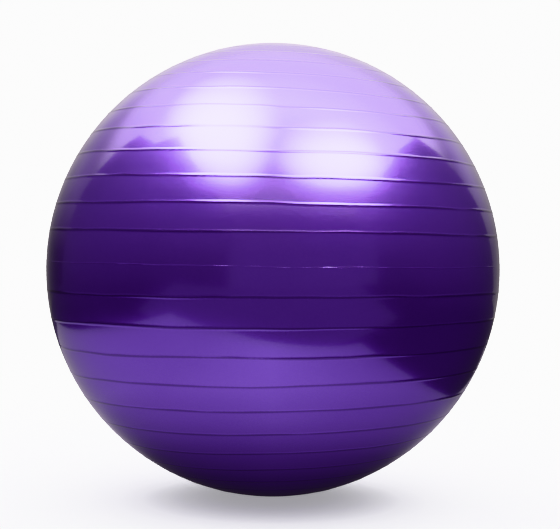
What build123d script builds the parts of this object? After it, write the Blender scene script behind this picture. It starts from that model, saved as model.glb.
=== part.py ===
"""Exercise ball: a rotomoulded skin with grip ribs, a bonded valve seat and an air plug.

Units are millimetres and degrees. +Z is up, along the axis of the mould, and the origin is the
middle of the small flat patch that the inflated ball rests on. The valve is on the +Y side.
"""

from build123d import *
from math import asin, cos, degrees, radians, sin, sqrt
import os

# Skin of the ball
BALL_RADIUS = 325.0
WALL = 0.8
FOOT_RADIUS = 28.0

# Raised rings round +Z, spaced by latitude on each half of the mould
SEAM_LATITUDE = 1.7
SEAM_WIDTH = 1.4
SEAM_HEIGHT = 0.2
UPPER_SEAM_GAP = 7.6
UPPER_PITCH = 6.35
UPPER_RIBS = 11
LOWER_SEAM_GAP = 6.75
LOWER_PITCH = 6.85
LOWER_RIBS = 11
RIB_WIDTH = 6.0
RIB_HEIGHT = 0.4

# Valve seat, midway between the first two ribs above the seam, on an axis through the ball's centre
VALVE_LATITUDE = SEAM_LATITUDE + UPPER_SEAM_GAP + 0.5 * UPPER_PITCH
PAD_RADIUS = 14.5
PAD_HEIGHT = 1.2
PAD_TAPER = 0.8
NECK_RADIUS = 11.5
FLANGE_RADIUS = 20.0
FLANGE_THICKNESS = 1.6
BOSS_RADIUS = 9.0
BOSS_LENGTH = 22.0
BOSS_ROOT = 2.5
BORE_RADIUS = 5.0
RECESS_RADIUS = 9.6
RECESS_DEPTH = 1.8
SCOOP_RADIUS = 3.0
SCOOP_OUTSET = 1.5
SCOOP_LIFT = 1.2

# Air plug
RING_CLEARANCE = 0.05
HEAD_CLEARANCE = 0.3
HEAD_THICKNESS = 1.9
HEAD_DOME = 0.5
HEAD_EDGE = 0.4
SHANK_RADIUS = 4.4
SHANK_LENGTH = 22.0
TIP_RADIUS = 3.4
TIP_LENGTH = 5.0
RING_COUNT = 3
RING_WIDTH = 1.8
RING_PITCH = 4.0
FIRST_RING = 3.5
HOLLOW_RADIUS = 2.4
HOLLOW_DEPTH = 17.0

# Worked out from the dimensions above
INNER_RADIUS = BALL_RADIUS - WALL
CENTRE_HEIGHT = sqrt(BALL_RADIUS**2 - FOOT_RADIUS**2)
CENTRE = Vector(0, 0, CENTRE_HEIGHT)
VALVE_AXIS = Vector(0, cos(radians(VALVE_LATITUDE)), sin(radians(VALVE_LATITUDE)))
VALVE_PLACE = Plane(origin=CENTRE, x_dir=(1, 0, 0), z_dir=VALVE_AXIS).location
PAD_SPHERE = BALL_RADIUS + PAD_HEIGHT
FLANGE_SPHERE = INNER_RADIUS - FLANGE_THICKNESS
RECESS_FLOOR = PAD_SPHERE - RECESS_DEPTH
BOSS_END = INNER_RADIUS - BOSS_LENGTH
RING_RADIUS = BORE_RADIUS - RING_CLEARANCE
HEAD_RADIUS = RECESS_RADIUS - HEAD_CLEARANCE
HEAD_UNDERSIDE = RECESS_FLOOR + RING_CLEARANCE


def skin_point(sphere_radius, latitude):
    """A point of the skin's half section, in the XZ plane."""
    angle = radians(latitude)
    return CENTRE + Vector(sphere_radius * cos(angle), 0, sphere_radius * sin(angle))


def skin_arc(sphere_radius, start, end):
    """A stretch of the skin's half section between two latitudes."""
    latitudes = (start, 0.5 * (start + end), end)
    return ThreePointArc(*[skin_point(sphere_radius, latitude) for latitude in latitudes])


def raised_rings():
    """Latitude, width and height of each raised ring, from the bottom of the ball to the top."""
    lower = [SEAM_LATITUDE - LOWER_SEAM_GAP - LOWER_PITCH * i for i in range(LOWER_RIBS)]
    upper = [SEAM_LATITUDE + UPPER_SEAM_GAP + UPPER_PITCH * i for i in range(UPPER_RIBS)]
    ribs = [(latitude, RIB_WIDTH, RIB_HEIGHT) for latitude in lower + upper]
    return sorted(ribs + [(SEAM_LATITUDE, SEAM_WIDTH, SEAM_HEIGHT)])


def make_ball_shell():
    """The inflated skin in one piece, with its ribs, its parting line and the hole for the valve."""
    latitude = -degrees(asin(CENTRE_HEIGHT / BALL_RADIUS))
    section = [Line(Vector(0, 0, 0), skin_point(BALL_RADIUS, latitude))]
    for middle, width, height in raised_rings():
        half = degrees(0.5 * width / BALL_RADIUS)
        foot_below = skin_point(BALL_RADIUS, middle - half)
        foot_above = skin_point(BALL_RADIUS, middle + half)
        section.append(skin_arc(BALL_RADIUS, latitude, middle - half))
        section.append(ThreePointArc(foot_below, skin_point(BALL_RADIUS + height, middle), foot_above))
        latitude = middle + half
    section.append(skin_arc(BALL_RADIUS, latitude, 90))
    section.append(Line(skin_point(BALL_RADIUS, 90), skin_point(INNER_RADIUS, 90)))
    inner_latitude = -degrees(asin((CENTRE_HEIGHT - WALL) / INNER_RADIUS))
    section.append(skin_arc(INNER_RADIUS, 90, inner_latitude))
    section.append(Line(skin_point(INNER_RADIUS, inner_latitude), Vector(0, 0, WALL)))
    section.append(Line(Vector(0, 0, WALL), Vector(0, 0, 0)))
    skin = revolve(make_face(section), Axis.Z)
    hole = Pos(0, 0, BALL_RADIUS) * Cylinder(NECK_RADIUS, 4 * WALL)
    return skin - VALVE_PLACE * hole


def valve_point(sphere_radius, distance):
    """A point of the valve's half section that lies on a sphere about the ball's centre."""
    return Vector(distance, 0, sqrt(sphere_radius**2 - distance**2))


def valve_arc(sphere_radius, start, end):
    """An arc of the valve's half section that follows the skin, between two distances from its axis."""
    distances = (start, 0.5 * (start + end), end)
    return ThreePointArc(*[valve_point(sphere_radius, distance) for distance in distances])


def make_valve_seat():
    """A thick soft collar: a pad outside, a neck through the skin, and a flange and a boss inside.

    A scoop in the pad's upper edge lets a fingernail or a fork get under the head of the plug.
    """
    root = valve_point(FLANGE_SPHERE, BOSS_RADIUS + BOSS_ROOT)
    boss_top = Vector(BOSS_RADIUS, 0, root.Z - BOSS_ROOT)
    boss_line = [boss_top, Vector(BOSS_RADIUS, 0, BOSS_END), Vector(BORE_RADIUS, 0, BOSS_END)]
    bore_line = [Vector(BORE_RADIUS, 0, RECESS_FLOOR), Vector(RECESS_RADIUS, 0, RECESS_FLOOR)]
    section = [
        valve_arc(PAD_SPHERE, RECESS_RADIUS, PAD_RADIUS - PAD_TAPER),
        Line(valve_point(PAD_SPHERE, PAD_RADIUS - PAD_TAPER), valve_point(BALL_RADIUS, PAD_RADIUS)),
        valve_arc(BALL_RADIUS, PAD_RADIUS, NECK_RADIUS),
        Line(valve_point(BALL_RADIUS, NECK_RADIUS), valve_point(INNER_RADIUS, NECK_RADIUS)),
        valve_arc(INNER_RADIUS, NECK_RADIUS, FLANGE_RADIUS),
        Line(valve_point(INNER_RADIUS, FLANGE_RADIUS), valve_point(FLANGE_SPHERE, FLANGE_RADIUS)),
        valve_arc(FLANGE_SPHERE, FLANGE_RADIUS, BOSS_RADIUS + BOSS_ROOT),
        Polyline(root, *boss_line, *bore_line, valve_point(PAD_SPHERE, RECESS_RADIUS)),
    ]
    collar = revolve(make_face(section), Axis.Z)
    scoop_place = Pos(0, -RECESS_RADIUS - SCOOP_OUTSET, PAD_SPHERE + SCOOP_LIFT)
    return VALVE_PLACE * (collar - scoop_place * Sphere(SCOOP_RADIUS))


def make_air_plug():
    """A stopper with a low domed head, a hollow shank with sealing rings, and a tapered tip."""
    shoulder = HEAD_UNDERSIDE + HEAD_THICKNESS
    tip = HEAD_UNDERSIDE - SHANK_LENGTH
    hollow_top = tip + HOLLOW_DEPTH
    dome = ThreePointArc(
        Vector(0, 0, shoulder + HEAD_DOME),
        Vector(0.5 * (HEAD_RADIUS - HEAD_EDGE), 0, shoulder + 0.75 * HEAD_DOME),
        Vector(HEAD_RADIUS - HEAD_EDGE, 0, shoulder),
    )
    rim = [
        Vector(HEAD_RADIUS - HEAD_EDGE, 0, shoulder),
        Vector(HEAD_RADIUS, 0, shoulder - HEAD_EDGE),
        Vector(HEAD_RADIUS, 0, HEAD_UNDERSIDE),
        Vector(SHANK_RADIUS, 0, HEAD_UNDERSIDE),
    ]
    section = [dome]
    for i in range(RING_COUNT):
        top = HEAD_UNDERSIDE - FIRST_RING - RING_PITCH * i + 0.5 * RING_WIDTH
        rim.append(Vector(SHANK_RADIUS, 0, top))
        section.append(Polyline(*rim))
        bottom = Vector(SHANK_RADIUS, 0, top - RING_WIDTH)
        crest = Vector(RING_RADIUS, 0, top - 0.5 * RING_WIDTH)
        section.append(ThreePointArc(rim[-1], crest, bottom))
        rim = [bottom]
    end = [
        Vector(SHANK_RADIUS, 0, tip + TIP_LENGTH),
        Vector(TIP_RADIUS, 0, tip),
        Vector(HOLLOW_RADIUS, 0, tip),
        Vector(HOLLOW_RADIUS, 0, hollow_top),
        Vector(0, 0, hollow_top),
        Vector(0, 0, shoulder + HEAD_DOME),
    ]
    section.append(Polyline(*rim, *end))
    return VALVE_PLACE * revolve(make_face(section), Axis.Z)


os.makedirs("parts", exist_ok=True)
for name, make in (
    ("ball_shell", make_ball_shell),
    ("valve_seat", make_valve_seat),
    ("air_plug", make_air_plug),
):
    piece = make()
    piece.label = name
    export_step(piece, f"parts/{name}.step")
    print(name, "volume", round(piece.volume), "mm3, valid", piece.is_valid)
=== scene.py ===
"""Exercise ball: the looks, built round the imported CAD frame. Lengths are in metres."""

from math import asin, cos, degrees, pi, radians, sin, sqrt

import bmesh
import bpy
from mathutils import Matrix, Vector, noise


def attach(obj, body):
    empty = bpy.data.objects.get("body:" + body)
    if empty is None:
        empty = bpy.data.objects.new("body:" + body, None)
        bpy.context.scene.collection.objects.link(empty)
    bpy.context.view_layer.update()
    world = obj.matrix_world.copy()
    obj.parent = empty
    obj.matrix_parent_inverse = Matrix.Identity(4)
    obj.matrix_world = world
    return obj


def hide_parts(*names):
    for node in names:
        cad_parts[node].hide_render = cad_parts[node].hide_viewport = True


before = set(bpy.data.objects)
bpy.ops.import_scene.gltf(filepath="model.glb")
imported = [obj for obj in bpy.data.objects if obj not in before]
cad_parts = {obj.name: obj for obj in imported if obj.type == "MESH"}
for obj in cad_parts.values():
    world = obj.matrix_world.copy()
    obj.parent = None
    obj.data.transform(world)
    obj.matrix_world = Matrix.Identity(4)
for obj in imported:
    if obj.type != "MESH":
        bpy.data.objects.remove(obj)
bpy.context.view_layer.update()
scene = bpy.context.scene

# Skin, as in the CAD model
BALL_RADIUS = 0.325
WALL = 0.0008
FOOT_RADIUS = 0.028
SEAM_LATITUDE = 1.7
UPPER_SEAM_GAP = 7.6
UPPER_PITCH = 6.35
LOWER_SEAM_GAP = 6.75
LOWER_PITCH = 6.85
RIBS_PER_HALF = 11
RIB_WIDTH = 0.0060
SEAM_WIDTH = 0.0014
SEAM_HEIGHT = 0.0002

# The CAD model's ribs are 0.4 mm high. 0.3 mm gives the glints on them a better brightness here.
RIB_HEIGHT = 0.0003

# Painted shade: the ribs' base colour darkens between these shares of their height, and not close to the
# parting line
RIB_PAINTED_SHADE = 0.85
DARK_FROM = 0.4
DARK_TO = 0.7
SEAM_CLEAR = 0.008
SEAM_CLEAR_TO = 0.012

# How uneven the skin is
RIB_WANDER = 0.0011
RIB_FAN = 0.04
BAND_PILLOW = 0.00003
SKIN_SWELL = 0.0001
SPECK_CELLS = 20.0
SPECK_CORE = 0.008
SPECK_EDGE = 0.03
CELLS_WITHOUT_SPECK = 0.8
SEAM_LEAST = 0.6
SEAM_SWING = 0.6
SEAM_DASH_SCALE = 27.0
CALM_ROUND_VALVE = 0.0174

# Valve, as in the CAD model
VALVE_LATITUDE = SEAM_LATITUDE + UPPER_SEAM_GAP + 0.5 * UPPER_PITCH
PAD_RADIUS = 0.0145
PAD_HEIGHT = 0.0012
NECK_RADIUS = 0.0115
FLANGE_RADIUS = 0.020
FLANGE_THICKNESS = 0.0016
BOSS_RADIUS = 0.009
BOSS_LENGTH = 0.022
BORE_RADIUS = 0.005
RECESS_RADIUS = 0.0096
RECESS_DEPTH = 0.0018
SCOOP_RADIUS = 0.003
SCOOP_OUTSET = 0.0015
SCOOP_LIFT = 0.0012

# Air plug, as in the CAD model
RING_CLEARANCE = 0.00005
HEAD_CLEARANCE = 0.0003
HEAD_THICKNESS = 0.0019
SHANK_RADIUS = 0.0044
SHANK_LENGTH = 0.022
TIP_RADIUS = 0.0034
TIP_LENGTH = 0.005
RING_COUNT = 3
RING_WIDTH = 0.0018
RING_PITCH = 0.004
FIRST_RING = 0.0035
HOLLOW_RADIUS = 0.0024
HOLLOW_DEPTH = 0.017

# How finely the meshes are cut
RING_STEPS = 8
RING_EDGE = 0.0005
CAP_ROWS = 9
COLUMNS = 256
INNER_ROWS = 48
INNER_COLUMNS = 96
SHARP_ANGLE = 35.0

CENTRE = Vector((0, 0, sqrt(BALL_RADIUS**2 - FOOT_RADIUS**2)))
INNER_RADIUS = BALL_RADIUS - WALL
SEAM_LEVEL = CENTRE.z + BALL_RADIUS * sin(radians(SEAM_LATITUDE))
VALVE_AXIS = Vector((0, cos(radians(VALVE_LATITUDE)), sin(radians(VALVE_LATITUDE))))
VALVE_PLACE = Matrix.Translation(CENTRE) @ VALVE_AXIS.to_track_quat("Z", "X").to_matrix().to_4x4()


# ---------------------------------------------------------------- mesh helpers

def eased(t):
    """0 up to 0, 1 from 1, and an eased rise between."""
    t = min(1.0, max(0.0, t))
    return t * t * (3 - 2 * t)


def new_object(name, vertices, faces, rounded_look=True):
    mesh = bpy.data.meshes.new(name)
    mesh.from_pydata([tuple(v) for v in vertices], [], faces)
    mesh.update()
    if rounded_look:
        mesh.polygons.foreach_set("use_smooth", [True] * len(mesh.polygons))
    obj = bpy.data.objects.new(name, mesh)
    scene.collection.objects.link(obj)
    return obj


def carved(whole, cutter, name):
    """A new object: whole with cutter's shape taken out. Both of them are removed."""
    cut = whole.modifiers.new("cut", "BOOLEAN")
    cut.object = cutter
    cut.operation = "DIFFERENCE"
    cut.solver = "EXACT"
    bpy.context.view_layer.update()
    evaluated = whole.evaluated_get(bpy.context.evaluated_depsgraph_get())
    mesh = bpy.data.meshes.new_from_object(evaluated)
    mesh.name = name
    mesh.polygons.foreach_set("use_smooth", [True] * len(mesh.polygons))
    mesh.set_sharp_from_angle(angle=radians(SHARP_ANGLE))
    made = bpy.data.objects.new(name, mesh)
    scene.collection.objects.link(made)
    bpy.data.objects.remove(whole)
    bpy.data.objects.remove(cutter)
    return made


def closed_grid(rows, columns, first):
    """Faces of a closed surface of revolution: a bottom pole, rings of vertices, and a top pole."""
    faces = []
    ring = lambda i, j: first + 1 + i * columns + j % columns
    top = first + 1 + rows * columns
    for j in range(columns):
        faces.append((first, ring(0, j + 1), ring(0, j)))
        faces.append((top, ring(rows - 1, j), ring(rows - 1, j + 1)))
        for i in range(rows - 1):
            faces.append((ring(i, j), ring(i, j + 1), ring(i + 1, j + 1), ring(i + 1, j)))
    return faces


# ---------------------------------------------------------------- the skin

def outward(latitude_angle, turn):
    """The unit vector from the ball's centre at a latitude and a turn round +Z from -Y, in radians."""
    flat = cos(latitude_angle)
    return Vector((flat * sin(turn), -flat * cos(turn), sin(latitude_angle)))


def raised_rings():
    """Latitude, width and height of each raised ring, from the bottom of the ball to the top."""
    lower = [SEAM_LATITUDE - LOWER_SEAM_GAP - LOWER_PITCH * i for i in range(RIBS_PER_HALF)]
    upper = [SEAM_LATITUDE + UPPER_SEAM_GAP + UPPER_PITCH * i for i in range(RIBS_PER_HALF)]
    rings = [(latitude, RIB_WIDTH, RIB_HEIGHT) for latitude in lower + upper]
    return sorted(rings + [(SEAM_LATITUDE, SEAM_WIDTH, SEAM_HEIGHT)])


def skin_rows():
    """Latitude, raised height and place between two rings (0 to 1) of each row of vertices.

    A row close to each side of a ring keeps the ring from tilting the shading of the bands.
    """
    edge = degrees(RING_EDGE / BALL_RADIUS)
    band_start = -degrees(asin(CENTRE.z / BALL_RADIUS))
    rows = [(band_start, 0.0, 0.0)]
    for latitude, width, height in raised_rings():
        half = degrees(0.5 * width / BALL_RADIUS)
        band_end = latitude - half
        span = band_end - band_start
        for s in (edge / span, 0.25, 0.5, 0.75, 1 - edge / span):
            rows.append((band_start + s * span, 0.0, s))
        for i in range(RING_STEPS + 1):
            t = -1 + 2 * i / RING_STEPS
            rows.append((latitude + t * half, height * (0.5 + 0.5 * cos(pi * t)), 0.0))
        band_start = latitude + half
    rows.append((band_start + edge, 0.0, 0.0))
    for i in range(1, CAP_ROWS):
        rows.append((band_start + (90 - band_start) * i / CAP_ROWS, 0.0, 0.0))
    return rows


def skin_point(latitude, longitude, lift, pillow):
    """Where the skin lies: rings fan out and wander, and the skin swells a little.

    That fades out towards the poles, and all relief ends at the valve. The parting line is higher
    and lower in dashes.
    """
    taper = eased((84 - abs(latitude)) / 30)
    angle = radians(latitude)
    ideal = outward(angle, longitude)
    wave = noise.noise(Vector((ideal.x * 3.1, ideal.y * 3.1, ideal.z * 9.0)) + Vector((7.3, 1.1, 4.2)))
    ripple = noise.noise(Vector((ideal.x * 9.0, ideal.y * 9.0, ideal.z * 14.0)) + Vector((2.9, 8.4, 0.6)))
    shift = (1.5 * wave + 0.5 * ripple) * RIB_WANDER / BALL_RADIUS
    angle += taper * (shift - RIB_FAN * angle * sin(longitude))
    swell = noise.noise(ideal * 4.0 + Vector((3.3, 5.5, 1.7)))
    out = outward(angle, longitude)
    if abs(latitude - SEAM_LATITUDE) < degrees(SEAM_WIDTH / BALL_RADIUS):
        dashes = noise.noise(ideal * SEAM_DASH_SCALE + Vector((0.4, 6.1, 2.2)))
        lift *= SEAM_LEAST + SEAM_SWING * eased((dashes + 0.1) / 0.4)
    calm = eased((BALL_RADIUS * out.angle(VALVE_AXIS) - CALM_ROUND_VALVE) / PAD_RADIUS)
    height = lift * (1 + 0.25 * ripple) + BAND_PILLOW * (1 + 0.6 * wave) * 4 * pillow * (1 - pillow)
    return CENTRE + (BALL_RADIUS + calm * (taper * SKIN_SWELL * swell + height)) * out


def make_skin():
    """The outer skin with its ribs, a plain inner skin, and the hole for the valve cut through both."""
    rows = skin_rows()
    vertices = [Vector((0, 0, 0))]
    for latitude, lift, pillow in rows:
        for j in range(COLUMNS):
            vertices.append(skin_point(latitude, 2 * pi * j / COLUMNS, lift, pillow))
    vertices.append(CENTRE + Vector((0, 0, BALL_RADIUS)))
    faces = closed_grid(len(rows), COLUMNS, 0)
    first = len(vertices)
    floor_latitude = -degrees(asin((CENTRE.z - WALL) / INNER_RADIUS))
    vertices.append(Vector((0, 0, WALL)))
    for i in range(INNER_ROWS):
        angle = radians(floor_latitude + (90 - floor_latitude) * i / INNER_ROWS)
        for j in range(INNER_COLUMNS):
            vertices.append(CENTRE + INNER_RADIUS * outward(angle, 2 * pi * j / INNER_COLUMNS))
    vertices.append(CENTRE + Vector((0, 0, INNER_RADIUS)))
    faces += [face[::-1] for face in closed_grid(INNER_ROWS, INNER_COLUMNS, first)]
    whole = new_object("whole_skin", vertices, faces)
    below, above = INNER_RADIUS - 0.01, BALL_RADIUS + 0.01
    outline = [(0, below), (NECK_RADIUS, below), (NECK_RADIUS, above), (0, above)]
    cutter = lathe("cutter", outline, 64)
    return carved(whole, cutter, "ball_skin")


# ---------------------------------------------------------------- the valve

def rounded(corners, steps=5):
    """An open outline through (distance, height, radius) corners, each turned with an arc."""
    points = []
    for i, (x, y, radius) in enumerate(corners):
        here = Vector((x, y))
        if radius == 0 or i in (0, len(corners) - 1):
            points.append(here)
            continue
        before = Vector(corners[i - 1][:2]) - here
        after = Vector(corners[i + 1][:2]) - here
        half = 0.5 * before.angle(after)
        reach = radius / max(1e-6, abs(sin(half) / cos(half)))
        reach = min(reach, 0.45 * before.length, 0.45 * after.length)
        start = here + before.normalized() * reach
        end = here + after.normalized() * reach
        for k in range(steps + 1):
            t = k / steps
            points.append((1 - t) ** 2 * start + 2 * t * (1 - t) * here + t * t * end)
    return points


def lathe(name, outline, segments):
    """Turns an outline of (distance, height) points round the valve's axis.

    An end at distance 0 closes in a point, and an outline with no such end joins up with its start.
    """
    vertices, rings = [], []
    for point in outline:
        if point[0] < 1e-7:
            rings.append([len(vertices)])
            vertices.append(VALVE_PLACE @ Vector((0, 0, point[1])))
            continue
        rings.append(list(range(len(vertices), len(vertices) + segments)))
        for j in range(segments):
            turn = 2 * pi * j / segments
            vertices.append(VALVE_PLACE @ Vector((point[0] * cos(turn), point[0] * sin(turn), point[1])))
    pairs = list(zip(rings, rings[1:]))
    if len(rings[0]) > 1:
        pairs.append((rings[-1], rings[0]))
    faces = []
    for a, b in pairs:
        for j in range(segments):
            k = (j + 1) % segments
            if len(a) == 1:
                faces.append((a[0], b[k], b[j]))
            elif len(b) == 1:
                faces.append((a[j], a[k], b[0]))
            else:
                faces.append((a[j], a[k], b[k], b[j]))
    obj = new_object(name, vertices, faces)
    made = bmesh.new()
    made.from_mesh(obj.data)
    bmesh.ops.recalc_face_normals(made, faces=made.faces)
    made.to_mesh(obj.data)
    made.free()
    return obj


def on_sphere(radius, distance):
    return sqrt(radius**2 - distance**2)


def make_collar():
    """The seat's pad outside the skin, its neck, and the flange and boss inside."""
    pad_top = BALL_RADIUS + PAD_HEIGHT
    flange = INNER_RADIUS - FLANGE_THICKNESS
    end = INNER_RADIUS - BOSS_LENGTH
    floor = pad_top - RECESS_DEPTH
    corners = [
        (BORE_RADIUS, 0.5 * (end + floor), 0),
        (BORE_RADIUS, floor, 0.0003),
        (RECESS_RADIUS, floor, 0.0003),
        (RECESS_RADIUS, on_sphere(pad_top, RECESS_RADIUS), 0.0003),
        (PAD_RADIUS - 0.0009, on_sphere(pad_top, PAD_RADIUS), 0.0005),
        (PAD_RADIUS, on_sphere(BALL_RADIUS + 0.0002, PAD_RADIUS), 0.0002),
        (PAD_RADIUS, on_sphere(BALL_RADIUS - 0.0005, PAD_RADIUS), 0),
        (NECK_RADIUS, on_sphere(BALL_RADIUS - 0.0005, NECK_RADIUS), 0),
        (NECK_RADIUS, on_sphere(INNER_RADIUS + 0.0001, NECK_RADIUS), 0),
        (FLANGE_RADIUS, on_sphere(INNER_RADIUS, FLANGE_RADIUS), 0.0002),
        (FLANGE_RADIUS - 0.0003, on_sphere(flange, FLANGE_RADIUS), 0.0004),
        (BOSS_RADIUS, on_sphere(flange, BOSS_RADIUS), 0.0025),
        (BOSS_RADIUS - 0.0003, end, 0.0008),
        (BORE_RADIUS, end, 0.0004),
        (BORE_RADIUS, 0.5 * (end + floor), 0),
    ]
    whole = lathe("whole_collar", rounded(corners)[:-1], 72)
    up_the_pad = Vector((0, -VALVE_AXIS.z, VALVE_AXIS.y))
    scoop = CENTRE + (pad_top + SCOOP_LIFT) * VALVE_AXIS + (RECESS_RADIUS + SCOOP_OUTSET) * up_the_pad
    bpy.ops.mesh.primitive_uv_sphere_add(segments=32, ring_count=16, radius=SCOOP_RADIUS, location=scoop)
    return carved(whole, bpy.context.object, "valve_collar")


def make_plug():
    """The stopper: a low domed head with a groove, sealing rings on the shank, and a hollow tip."""
    underside = BALL_RADIUS + PAD_HEIGHT - RECESS_DEPTH + RING_CLEARANCE
    shoulder = underside + HEAD_THICKNESS
    tip = underside - SHANK_LENGTH
    head = RECESS_RADIUS - HEAD_CLEARANCE
    ring = BORE_RADIUS - RING_CLEARANCE
    corners = [
        (0, shoulder + 0.0001, 0),
        (0.0007, shoulder + 0.00012, 0.0003),
        (0.0011, shoulder + 0.00048, 0.0004),
        (0.0040, shoulder + 0.00044, 0.0006),
        (0.0046, shoulder + 0.00008, 0.0003),
        (0.0054, shoulder + 0.00006, 0.0003),
        (0.0060, shoulder + 0.00032, 0.0006),
        (head - 0.0004, shoulder + 0.00005, 0.0012),
        (head, shoulder - 0.0006, 0.0006),
        (head, underside, 0.0003),
        (SHANK_RADIUS, underside, 0.0003),
    ]
    for i in range(RING_COUNT):
        middle = underside - FIRST_RING - RING_PITCH * i
        corners += [
            (SHANK_RADIUS, middle + 0.5 * RING_WIDTH, 0.0002),
            (ring, middle + 0.0003, 0.0004),
            (ring, middle - 0.0003, 0.0004),
            (SHANK_RADIUS, middle - 0.5 * RING_WIDTH, 0.0002),
        ]
    corners += [
        (SHANK_RADIUS, tip + TIP_LENGTH, 0.002),
        (TIP_RADIUS, tip, 0.0004),
        (HOLLOW_RADIUS, tip, 0.0003),
        (HOLLOW_RADIUS, tip + HOLLOW_DEPTH, 0.001),
        (0, tip + HOLLOW_DEPTH, 0),
    ]
    return lathe("plug_stopper", rounded(corners), 64)


# ---------------------------------------------------------------- materials

def material(name):
    made = bpy.data.materials.new(name)
    made.use_nodes = True
    return made, made.node_tree, made.node_tree.nodes["Principled BSDF"]


def node(tree, kind, inputs=None, **settings):
    made = tree.nodes.new(kind)
    for key, value in settings.items():
        setattr(made, key, value)
    for key, value in (inputs or {}).items():
        if isinstance(value, bpy.types.NodeSocket):
            tree.links.new(value, made.inputs[key])
        else:
            made.inputs[key].default_value = value
    return made


def object_place(tree):
    return node(tree, "ShaderNodeTexCoord").outputs["Object"]


def part_of(tree, vector, axis):
    """The X, Y or Z (0, 1 or 2) of a vector."""
    return node(tree, "ShaderNodeSeparateXYZ", {0: vector}).outputs[axis]


def object_noise(tree, scale, detail=2.0, stretch=(1, 1, 1)):
    place = object_place(tree)
    mapped = node(tree, "ShaderNodeMapping", {"Vector": place, "Scale": stretch}).outputs["Vector"]
    made = node(tree, "ShaderNodeTexNoise", {"Vector": mapped, "Scale": scale, "Detail": detail})
    return made.outputs["Fac"]


def ramp(tree, value, stops):
    made = node(tree, "ShaderNodeValToRGB", {"Fac": value})
    elements = made.color_ramp.elements
    while len(elements) < len(stops):
        elements.new(0.5)
    for element, (position, colour) in zip(elements, stops):
        element.position = position
        element.color = (*colour, 1)
    return made.outputs["Color"]


def remap(tree, value, low, high, to_low, to_high):
    made = node(tree, "ShaderNodeMapRange", {"Value": value, "From Min": low, "From Max": high,
                                             "To Min": to_low, "To Max": to_high})
    return made.outputs["Result"]


def arithmetic(tree, operation, a, b=0.0):
    return node(tree, "ShaderNodeMath", {0: a, 1: b}, operation=operation).outputs[0]


def product(tree, *values):
    total = values[0]
    for value in values[1:]:
        total = arithmetic(tree, "MULTIPLY", total, value)
    return total


def mixed(tree, share, first, second):
    """A colour, share of the way from first to second."""
    made = node(tree, "ShaderNodeMix", {0: share, 6: first, 7: second}, data_type="RGBA")
    return made.outputs[2]


def bump(tree, height, strength, distance, normal=None):
    inputs = {"Height": height, "Strength": strength, "Distance": distance}
    if normal is not None:
        inputs["Normal"] = normal
    return node(tree, "ShaderNodeBump", inputs).outputs[0]


def uneven_roughness(tree, shader, scale, detail, smoothest, roughest):
    patches = object_noise(tree, scale, detail)
    tree.links.new(remap(tree, patches, 0.3, 0.7, smoothest, roughest), shader.inputs["Roughness"])


def rib_shade_mask(tree, place):
    """Where shade is painted: 1 on the ribs, and 0 on the bands and on the parting line."""
    out = node(tree, "ShaderNodeVectorMath", {0: place, 1: CENTRE}, operation="DISTANCE").outputs["Value"]
    low, high = BALL_RADIUS + DARK_FROM * RIB_HEIGHT, BALL_RADIUS + DARK_TO * RIB_HEIGHT
    raised = remap(tree, out, low, high, 0.0, 1.0)
    above_seam = arithmetic(tree, "SUBTRACT", part_of(tree, place, 2), SEAM_LEVEL)
    from_seam = arithmetic(tree, "ABSOLUTE", above_seam)
    return product(tree, raised, remap(tree, from_seam, SEAM_CLEAR, SEAM_CLEAR_TO, 0.0, 1.0))


def speck_height(tree, place):
    """Small round specks, in some of the cells of a loose pattern."""
    cells = node(tree, "ShaderNodeTexVoronoi", {"Vector": place, "Scale": SPECK_CELLS}).outputs
    draw = node(tree, "ShaderNodeSeparateColor", {0: cells["Color"]}).outputs[0]
    speck = remap(tree, cells["Distance"], SPECK_CORE, SPECK_EDGE, 1.0, 0.0)
    return product(tree, speck, arithmetic(tree, "GREATER_THAN", draw, CELLS_WITHOUT_SPECK))


def skin_material():
    """Pearl purple soft PVC: flakes under a clear gloss, painted shade on the ribs, faint swirls and
    small specks.
    """
    made, tree, shader = material("pearl_purple_pvc")
    place = object_place(tree)
    swirl = object_noise(tree, 5.0, 4.0, (1, 1, 2.2))
    colour = ramp(tree, swirl, [(0.32, (0.265, 0.095, 0.81)), (0.68, (0.30, 0.115, 0.87))])
    flakes = remap(tree, object_noise(tree, 520.0, 1.0), 0.35, 0.65, 0.0, 0.20)
    pearl = mixed(tree, flakes, colour, (0.38, 0.18, 0.94, 1))
    # Painted shade: on the ribs, the base colour is mixed towards a dark purple
    painted_rib_shade = product(tree, rib_shade_mask(tree, place), RIB_PAINTED_SHADE)
    tree.links.new(mixed(tree, painted_rib_shade, pearl, (0.10, 0.02, 0.36, 1)), shader.inputs["Base Color"])
    uneven_roughness(tree, shader, 14.0, 5.0, 0.20, 0.23)
    shader.inputs["Metallic"].default_value = 1.0
    shader.inputs["Specular Tint"].default_value = (0.4, 0.4, 0.4, 1)
    shader.inputs["Coat Weight"].default_value = 1.0
    shader.inputs["Coat Roughness"].default_value = 0.095
    shader.inputs["Coat IOR"].default_value = 2.0
    specks = bump(tree, speck_height(tree, place), 0.8, 0.0003)
    peel = bump(tree, object_noise(tree, 160.0), 0.25, 0.00006, specks)
    waves = bump(tree, object_noise(tree, 26.0), 0.5, 0.00012, peel)
    tree.links.new(waves, shader.inputs["Normal"])
    tree.links.new(waves, shader.inputs["Coat Normal"])
    return made


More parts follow.
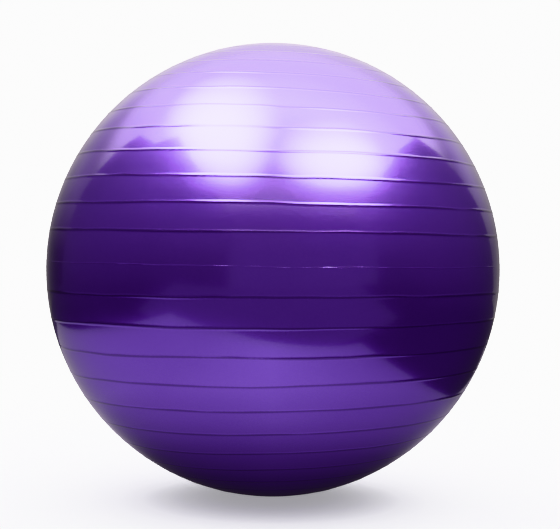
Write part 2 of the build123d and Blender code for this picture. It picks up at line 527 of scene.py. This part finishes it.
def collar_material():
    """A darker purple with less gloss and a fine grain."""
    made, tree, shader = material("satin_purple_pvc")
    patches = object_noise(tree, 90.0, 3.0)
    colour = ramp(tree, patches, [(0.35, (0.075, 0.010, 0.30)), (0.7, (0.10, 0.016, 0.38))])
    tree.links.new(colour, shader.inputs["Base Color"])
    uneven_roughness(tree, shader, 300.0, 3.0, 0.3, 0.42)
    shader.inputs["Metallic"].default_value = 0.5
    shader.inputs["Coat Weight"].default_value = 0.4
    shader.inputs["Coat Roughness"].default_value = 0.2
    grain = bump(tree, object_noise(tree, 900.0, 3.0), 0.3, 0.00005)
    tree.links.new(grain, shader.inputs["Normal"])
    return made


def plug_material():
    """White soft plastic. It is mixed as a light grey, because the studio light is strong."""
    made, tree, shader = material("white_soft_plastic")
    patches = object_noise(tree, 160.0, 4.0)
    colour = ramp(tree, patches, [(0.3, (0.54, 0.53, 0.50)), (0.7, (0.64, 0.635, 0.61))])
    tree.links.new(colour, shader.inputs["Base Color"])
    uneven_roughness(tree, shader, 420.0, 3.0, 0.32, 0.48)
    grain = bump(tree, object_noise(tree, 1500.0, 3.0), 0.25, 0.00004)
    tree.links.new(grain, shader.inputs["Normal"])
    return made


# ---------------------------------------------------------------- the studio

# The camera stands low in front of the ball
CAMERA_DISTANCE = 6.4 * BALL_RADIUS
CAMERA_ELEVATION = 1.1
CAMERA_ROLL = 0.5
BALL_SHARE_OF_WIDTH = 0.4055
PICTURE_SHIFT = (0.0126, 0.0090)

# Only reflections show the panels. Their outlines and levels are rounded from a fit to what the
# ball reflects, and the glows are emission strengths.
CEILING = 2.3
BACK_WALL = 2.5
PAPER_LEVEL = 0.0004
FRONT_FLOOR_LEVEL = 0.0002
CEILING_COLOUR = (1.08, 1.08, 0.85)
WALL_COLOUR = (1.08, 1.0, 1.0)
PAPER_COLOUR = (1.13, 1.0, 1.23)
CEILING_GLOW = 6.6
LEFT_LAMP_GLOW = 27.0
RIGHT_LAMP_GLOW = 26.0
WALL_GLOW = 1.25
PAPER_GLOW = 0.56
FRONT_GLOW = 0.175
FRONT_FLOOR_GLOW = 0.155
ROOM_GLOW = (0.07, 0.265)
WALL_LEAN = 0.2
SPOT_CORE = 0.2
FLOOR_LIGHT_AXIS = (0.0, 0.37, 0.929)
FLOOR_LIGHT_POWER = 2.2
FLOOR_LIGHT = 5.9
FLOOR_OWN_GLOW = 0.36
BACKDROP_GLOW = 2.7


def panel(name, corners, colour, strength):
    """A flat glowing panel that only reflections show. strength makes its node sockets."""
    made = new_object(name, corners, [tuple(range(len(corners)))], False)
    glow = bpy.data.materials.new(name + "_glow")
    glow.use_nodes = True
    tree = glow.node_tree
    tree.nodes.clear()
    level = strength(tree, object_place(tree))
    lamp = node(tree, "ShaderNodeEmission", {"Color": (*colour, 1), "Strength": level})
    node(tree, "ShaderNodeOutputMaterial", {"Surface": lamp.outputs[0]})
    made.data.materials.append(glow)
    made.visible_camera = False
    made.visible_diffuse = False
    made.visible_shadow = False


def vector_length(tree, vector):
    return node(tree, "ShaderNodeVectorMath", {0: vector}, operation="LENGTH").outputs["Value"]


def profile(tree, value, stops):
    """A level that changes with value, through (value, level) stops."""
    low, high = stops[0][0], stops[-1][0]
    top = max(level for _, level in stops)
    place = remap(tree, value, low, high, 0.0, 1.0)
    grey = [((at - low) / (high - low), (level / top,) * 3) for at, level in stops]
    return arithmetic(tree, "MULTIPLY", ramp(tree, place, grey), top)


def hot_spot(tree, place, centre, radii, turn):
    """1 in the middle of an oval on the ceiling, easing to 0 at its edge."""
    local = node(tree, "ShaderNodeMapping", {"Vector": place, "Location": (*centre, CEILING),
                                             "Rotation": (0, 0, radians(turn)), "Scale": (*radii, 1)},
                 vector_type="TEXTURE").outputs["Vector"]
    far = vector_length(tree, local)
    inputs = {"Value": far, "From Min": SPOT_CORE, "From Max": 1.0, "To Min": 1.0, "To Max": 0.0}
    return node(tree, "ShaderNodeMapRange", inputs, interpolation_type="SMOOTHSTEP").outputs["Result"]


def across(tree, place):
    """How the ceiling and the wall dim towards the sides.

    Lower down, the wall's bright part lies further to the right.
    """
    above_ceiling = arithmetic(tree, "SUBTRACT", part_of(tree, place, 2), CEILING)
    x = arithmetic(tree, "ADD", part_of(tree, place, 0), product(tree, above_ceiling, WALL_LEAN))
    return profile(tree, x, [(-5.0, 0.2), (-3.0, 0.34), (-2.0, 0.52), (-1.3, 0.9), (0.0, 1.0), (1.0, 0.9),
                             (2.0, 0.7), (4.0, 0.15)])


def ceiling_strength(tree, place):
    """A ceiling that is brightest over the ball, with two hot spots in front of that."""
    y = part_of(tree, place, 1)
    along = profile(tree, y, [(-3.5, 0.06), (-2.2, 0.08), (-1.4, 0.25), (-0.3, 1.0), (0.5, 0.57),
                              (1.2, 0.46), (2.0, 0.21), (BACK_WALL, 0.18)])
    glow = product(tree, along, across(tree, place), CEILING_GLOW)
    left = product(tree, hot_spot(tree, place, (-0.80, -0.75), (0.93, 1.70), 0), LEFT_LAMP_GLOW)
    right = product(tree, hot_spot(tree, place, (1.15, -1.3), (1.26, 1.05), 26), RIGHT_LAMP_GLOW)
    return arithmetic(tree, "ADD", arithmetic(tree, "ADD", glow, left), right)


def wall_strength(tree, place):
    """A wall behind the ball, dim near the floor."""
    z = part_of(tree, place, 2)
    up = profile(tree, z, [(0.0, 0.2), (0.5, 0.23), (1.0, 0.48), (1.5, 0.78), (CEILING, 1.0)])
    return product(tree, up, across(tree, place), WALL_GLOW)


def paper_strength(tree, place):
    """Paper under the ball, dark where the ball shades it, and dimmer at the sides."""
    far = vector_length(tree, place)
    shade = profile(tree, far, [(0.0, 0.045), (0.14, 0.15), (0.2, 0.27), (0.3, 0.68), (0.42, 0.97),
                                (0.6, 1.0), (2.5, 0.85)])
    x = part_of(tree, place, 0)
    side = profile(tree, x, [(-1.2, 0.64), (-0.3, 0.74), (0.0, 0.92), (0.45, 0.52)])
    return product(tree, shade, side, PAPER_GLOW)


def front_strength(tree, place):
    """A dim screen in front, dimmer close to its left edge."""
    x = part_of(tree, place, 0)
    return product(tree, profile(tree, x, [(-0.95, 0.7), (-0.85, 1.0), (2.9, 1.0)]), FRONT_GLOW)


def make_panels():
    """The bright things round the ball, with outlines of (x, y) across and (x, z) upright."""
    ceiling = [(-1.53, -3.5), (2.85, -3.5), (2.2, -0.9), (2.05, -0.1), (2.1, 0.83), (3.05, 1.8),
               (3.75, BACK_WALL), (-4.4, BACK_WALL), (-3.47, 1.66), (-2.0, 0.56), (-1.88, -0.10),
               (-1.42, -0.35)]
    wall = [(-3.6, 0.0), (2.05, 0.0), (3.75, CEILING), (-4.4, CEILING)]
    paper = [(-0.77, -0.80), (-0.21, -0.74), (0.41, -0.55), (0.46, 0.2), (0.61, 0.97), (0.95, 1.5),
             (-1.2, 1.35), (-0.96, 0.0)]
    front = [(-0.95, 0.0), (2.9, 0.0), (2.9, 1.5), (-0.95, 1.5)]
    ahead = [(-2.6, -BACK_WALL), (2.1, -BACK_WALL), (0.9, -0.6), (-1.1, -0.6)]
    panel("ceiling_panel", [(x, y, CEILING) for x, y in ceiling], CEILING_COLOUR, ceiling_strength)
    panel("back_wall", [(x, BACK_WALL, z) for x, z in wall], WALL_COLOUR, wall_strength)
    panel("paper_sheet", [(x, y, PAPER_LEVEL) for x, y in paper], PAPER_COLOUR, paper_strength)
    panel("front_screen", [(x, -BACK_WALL, z) for x, z in front], PAPER_COLOUR, front_strength)
    panel("front_floor", [(x, y, FRONT_FLOOR_LEVEL) for x, y in ahead], PAPER_COLOUR,
          lambda tree, place: FRONT_FLOOR_GLOW)


def make_floor():
    """The pale floor that the camera sees. Reflections don't show it."""
    reach = 60.0
    corners = [(-reach, -reach, 0), (reach, -reach, 0), (reach, reach, 0), (-reach, reach, 0)]
    floor = new_object("floor", corners, [(0, 1, 2, 3)], False)
    made, _, shader = material("pale_floor")
    shader.inputs["Base Color"].default_value = (0.9, 0.9, 0.9, 1)
    shader.inputs["Roughness"].default_value = 1.0
    shader.inputs["Specular IOR Level"].default_value = 0.0
    shader.inputs["Emission Color"].default_value = (1, 1, 1, 1)
    shader.inputs["Emission Strength"].default_value = FLOOR_OWN_GLOW
    floor.data.materials.append(made)
    floor.visible_glossy = False


def background(tree, colour, strength):
    return node(tree, "ShaderNodeBackground", {"Color": (*colour, 1), "Strength": strength}).outputs[0]


def make_world():
    """White to the camera, a light from above on matt surfaces, and a dim room in reflections."""
    world = bpy.data.worlds.new("studio")
    scene.world = world
    world.use_nodes = True
    tree = world.node_tree
    tree.nodes.clear()
    path = node(tree, "ShaderNodeLightPath").outputs
    direction = node(tree, "ShaderNodeTexCoord").outputs["Generated"]
    inputs = {0: direction, 1: FLOOR_LIGHT_AXIS}
    facing = node(tree, "ShaderNodeVectorMath", inputs, operation="DOT_PRODUCT").outputs["Value"]
    overhead = arithmetic(tree, "POWER", arithmetic(tree, "MAXIMUM", facing), FLOOR_LIGHT_POWER)
    room_level = remap(tree, part_of(tree, direction, 2), -0.2, 0.8, *ROOM_GLOW)
    seen = background(tree, (1, 1, 1), BACKDROP_GLOW)
    fill = background(tree, (1, 1, 1), product(tree, overhead, FLOOR_LIGHT))
    room = background(tree, PAPER_COLOUR, room_level)
    light = node(tree, "ShaderNodeMixShader", {0: path["Is Glossy Ray"], 1: fill, 2: room}).outputs[0]
    both = node(tree, "ShaderNodeMixShader", {0: path["Is Camera Ray"], 1: light, 2: seen}).outputs[0]
    node(tree, "ShaderNodeOutputWorld", {"Surface": both})


def make_camera():
    data = bpy.data.cameras.new("camera")
    camera = bpy.data.objects.new("camera", data)
    scene.collection.objects.link(camera)
    elevation = radians(CAMERA_ELEVATION)
    camera.location = CENTRE + CAMERA_DISTANCE * Vector((0, -cos(elevation), sin(elevation)))
    look = (CENTRE - camera.location).to_track_quat("-Z", "Y").to_matrix().to_4x4()
    roll = Matrix.Rotation(radians(CAMERA_ROLL), 4, "Z")
    camera.matrix_world = Matrix.Translation(camera.location) @ look @ roll
    limb = asin(BALL_RADIUS / CAMERA_DISTANCE)
    data.sensor_width = 36.0
    data.lens = data.sensor_width * BALL_SHARE_OF_WIDTH / (sin(limb) / cos(limb))
    data.shift_x, data.shift_y = PICTURE_SHIFT
    data.clip_start = 0.05
    data.clip_end = 100.0
    scene.camera = camera


make_camera()
make_world()
scene.view_settings.view_transform = "Khronos PBR Neutral"
make_floor()
make_panels()

skin = make_skin()
skin.data.materials.append(skin_material())
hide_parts("ball_shell")
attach(skin, "ball")

collar = make_collar()
collar.data.materials.append(collar_material())
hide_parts("valve_seat")
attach(collar, "ball")

plug = make_plug()
plug.data.materials.append(plug_material())
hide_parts("air_plug")
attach(plug, "plug")
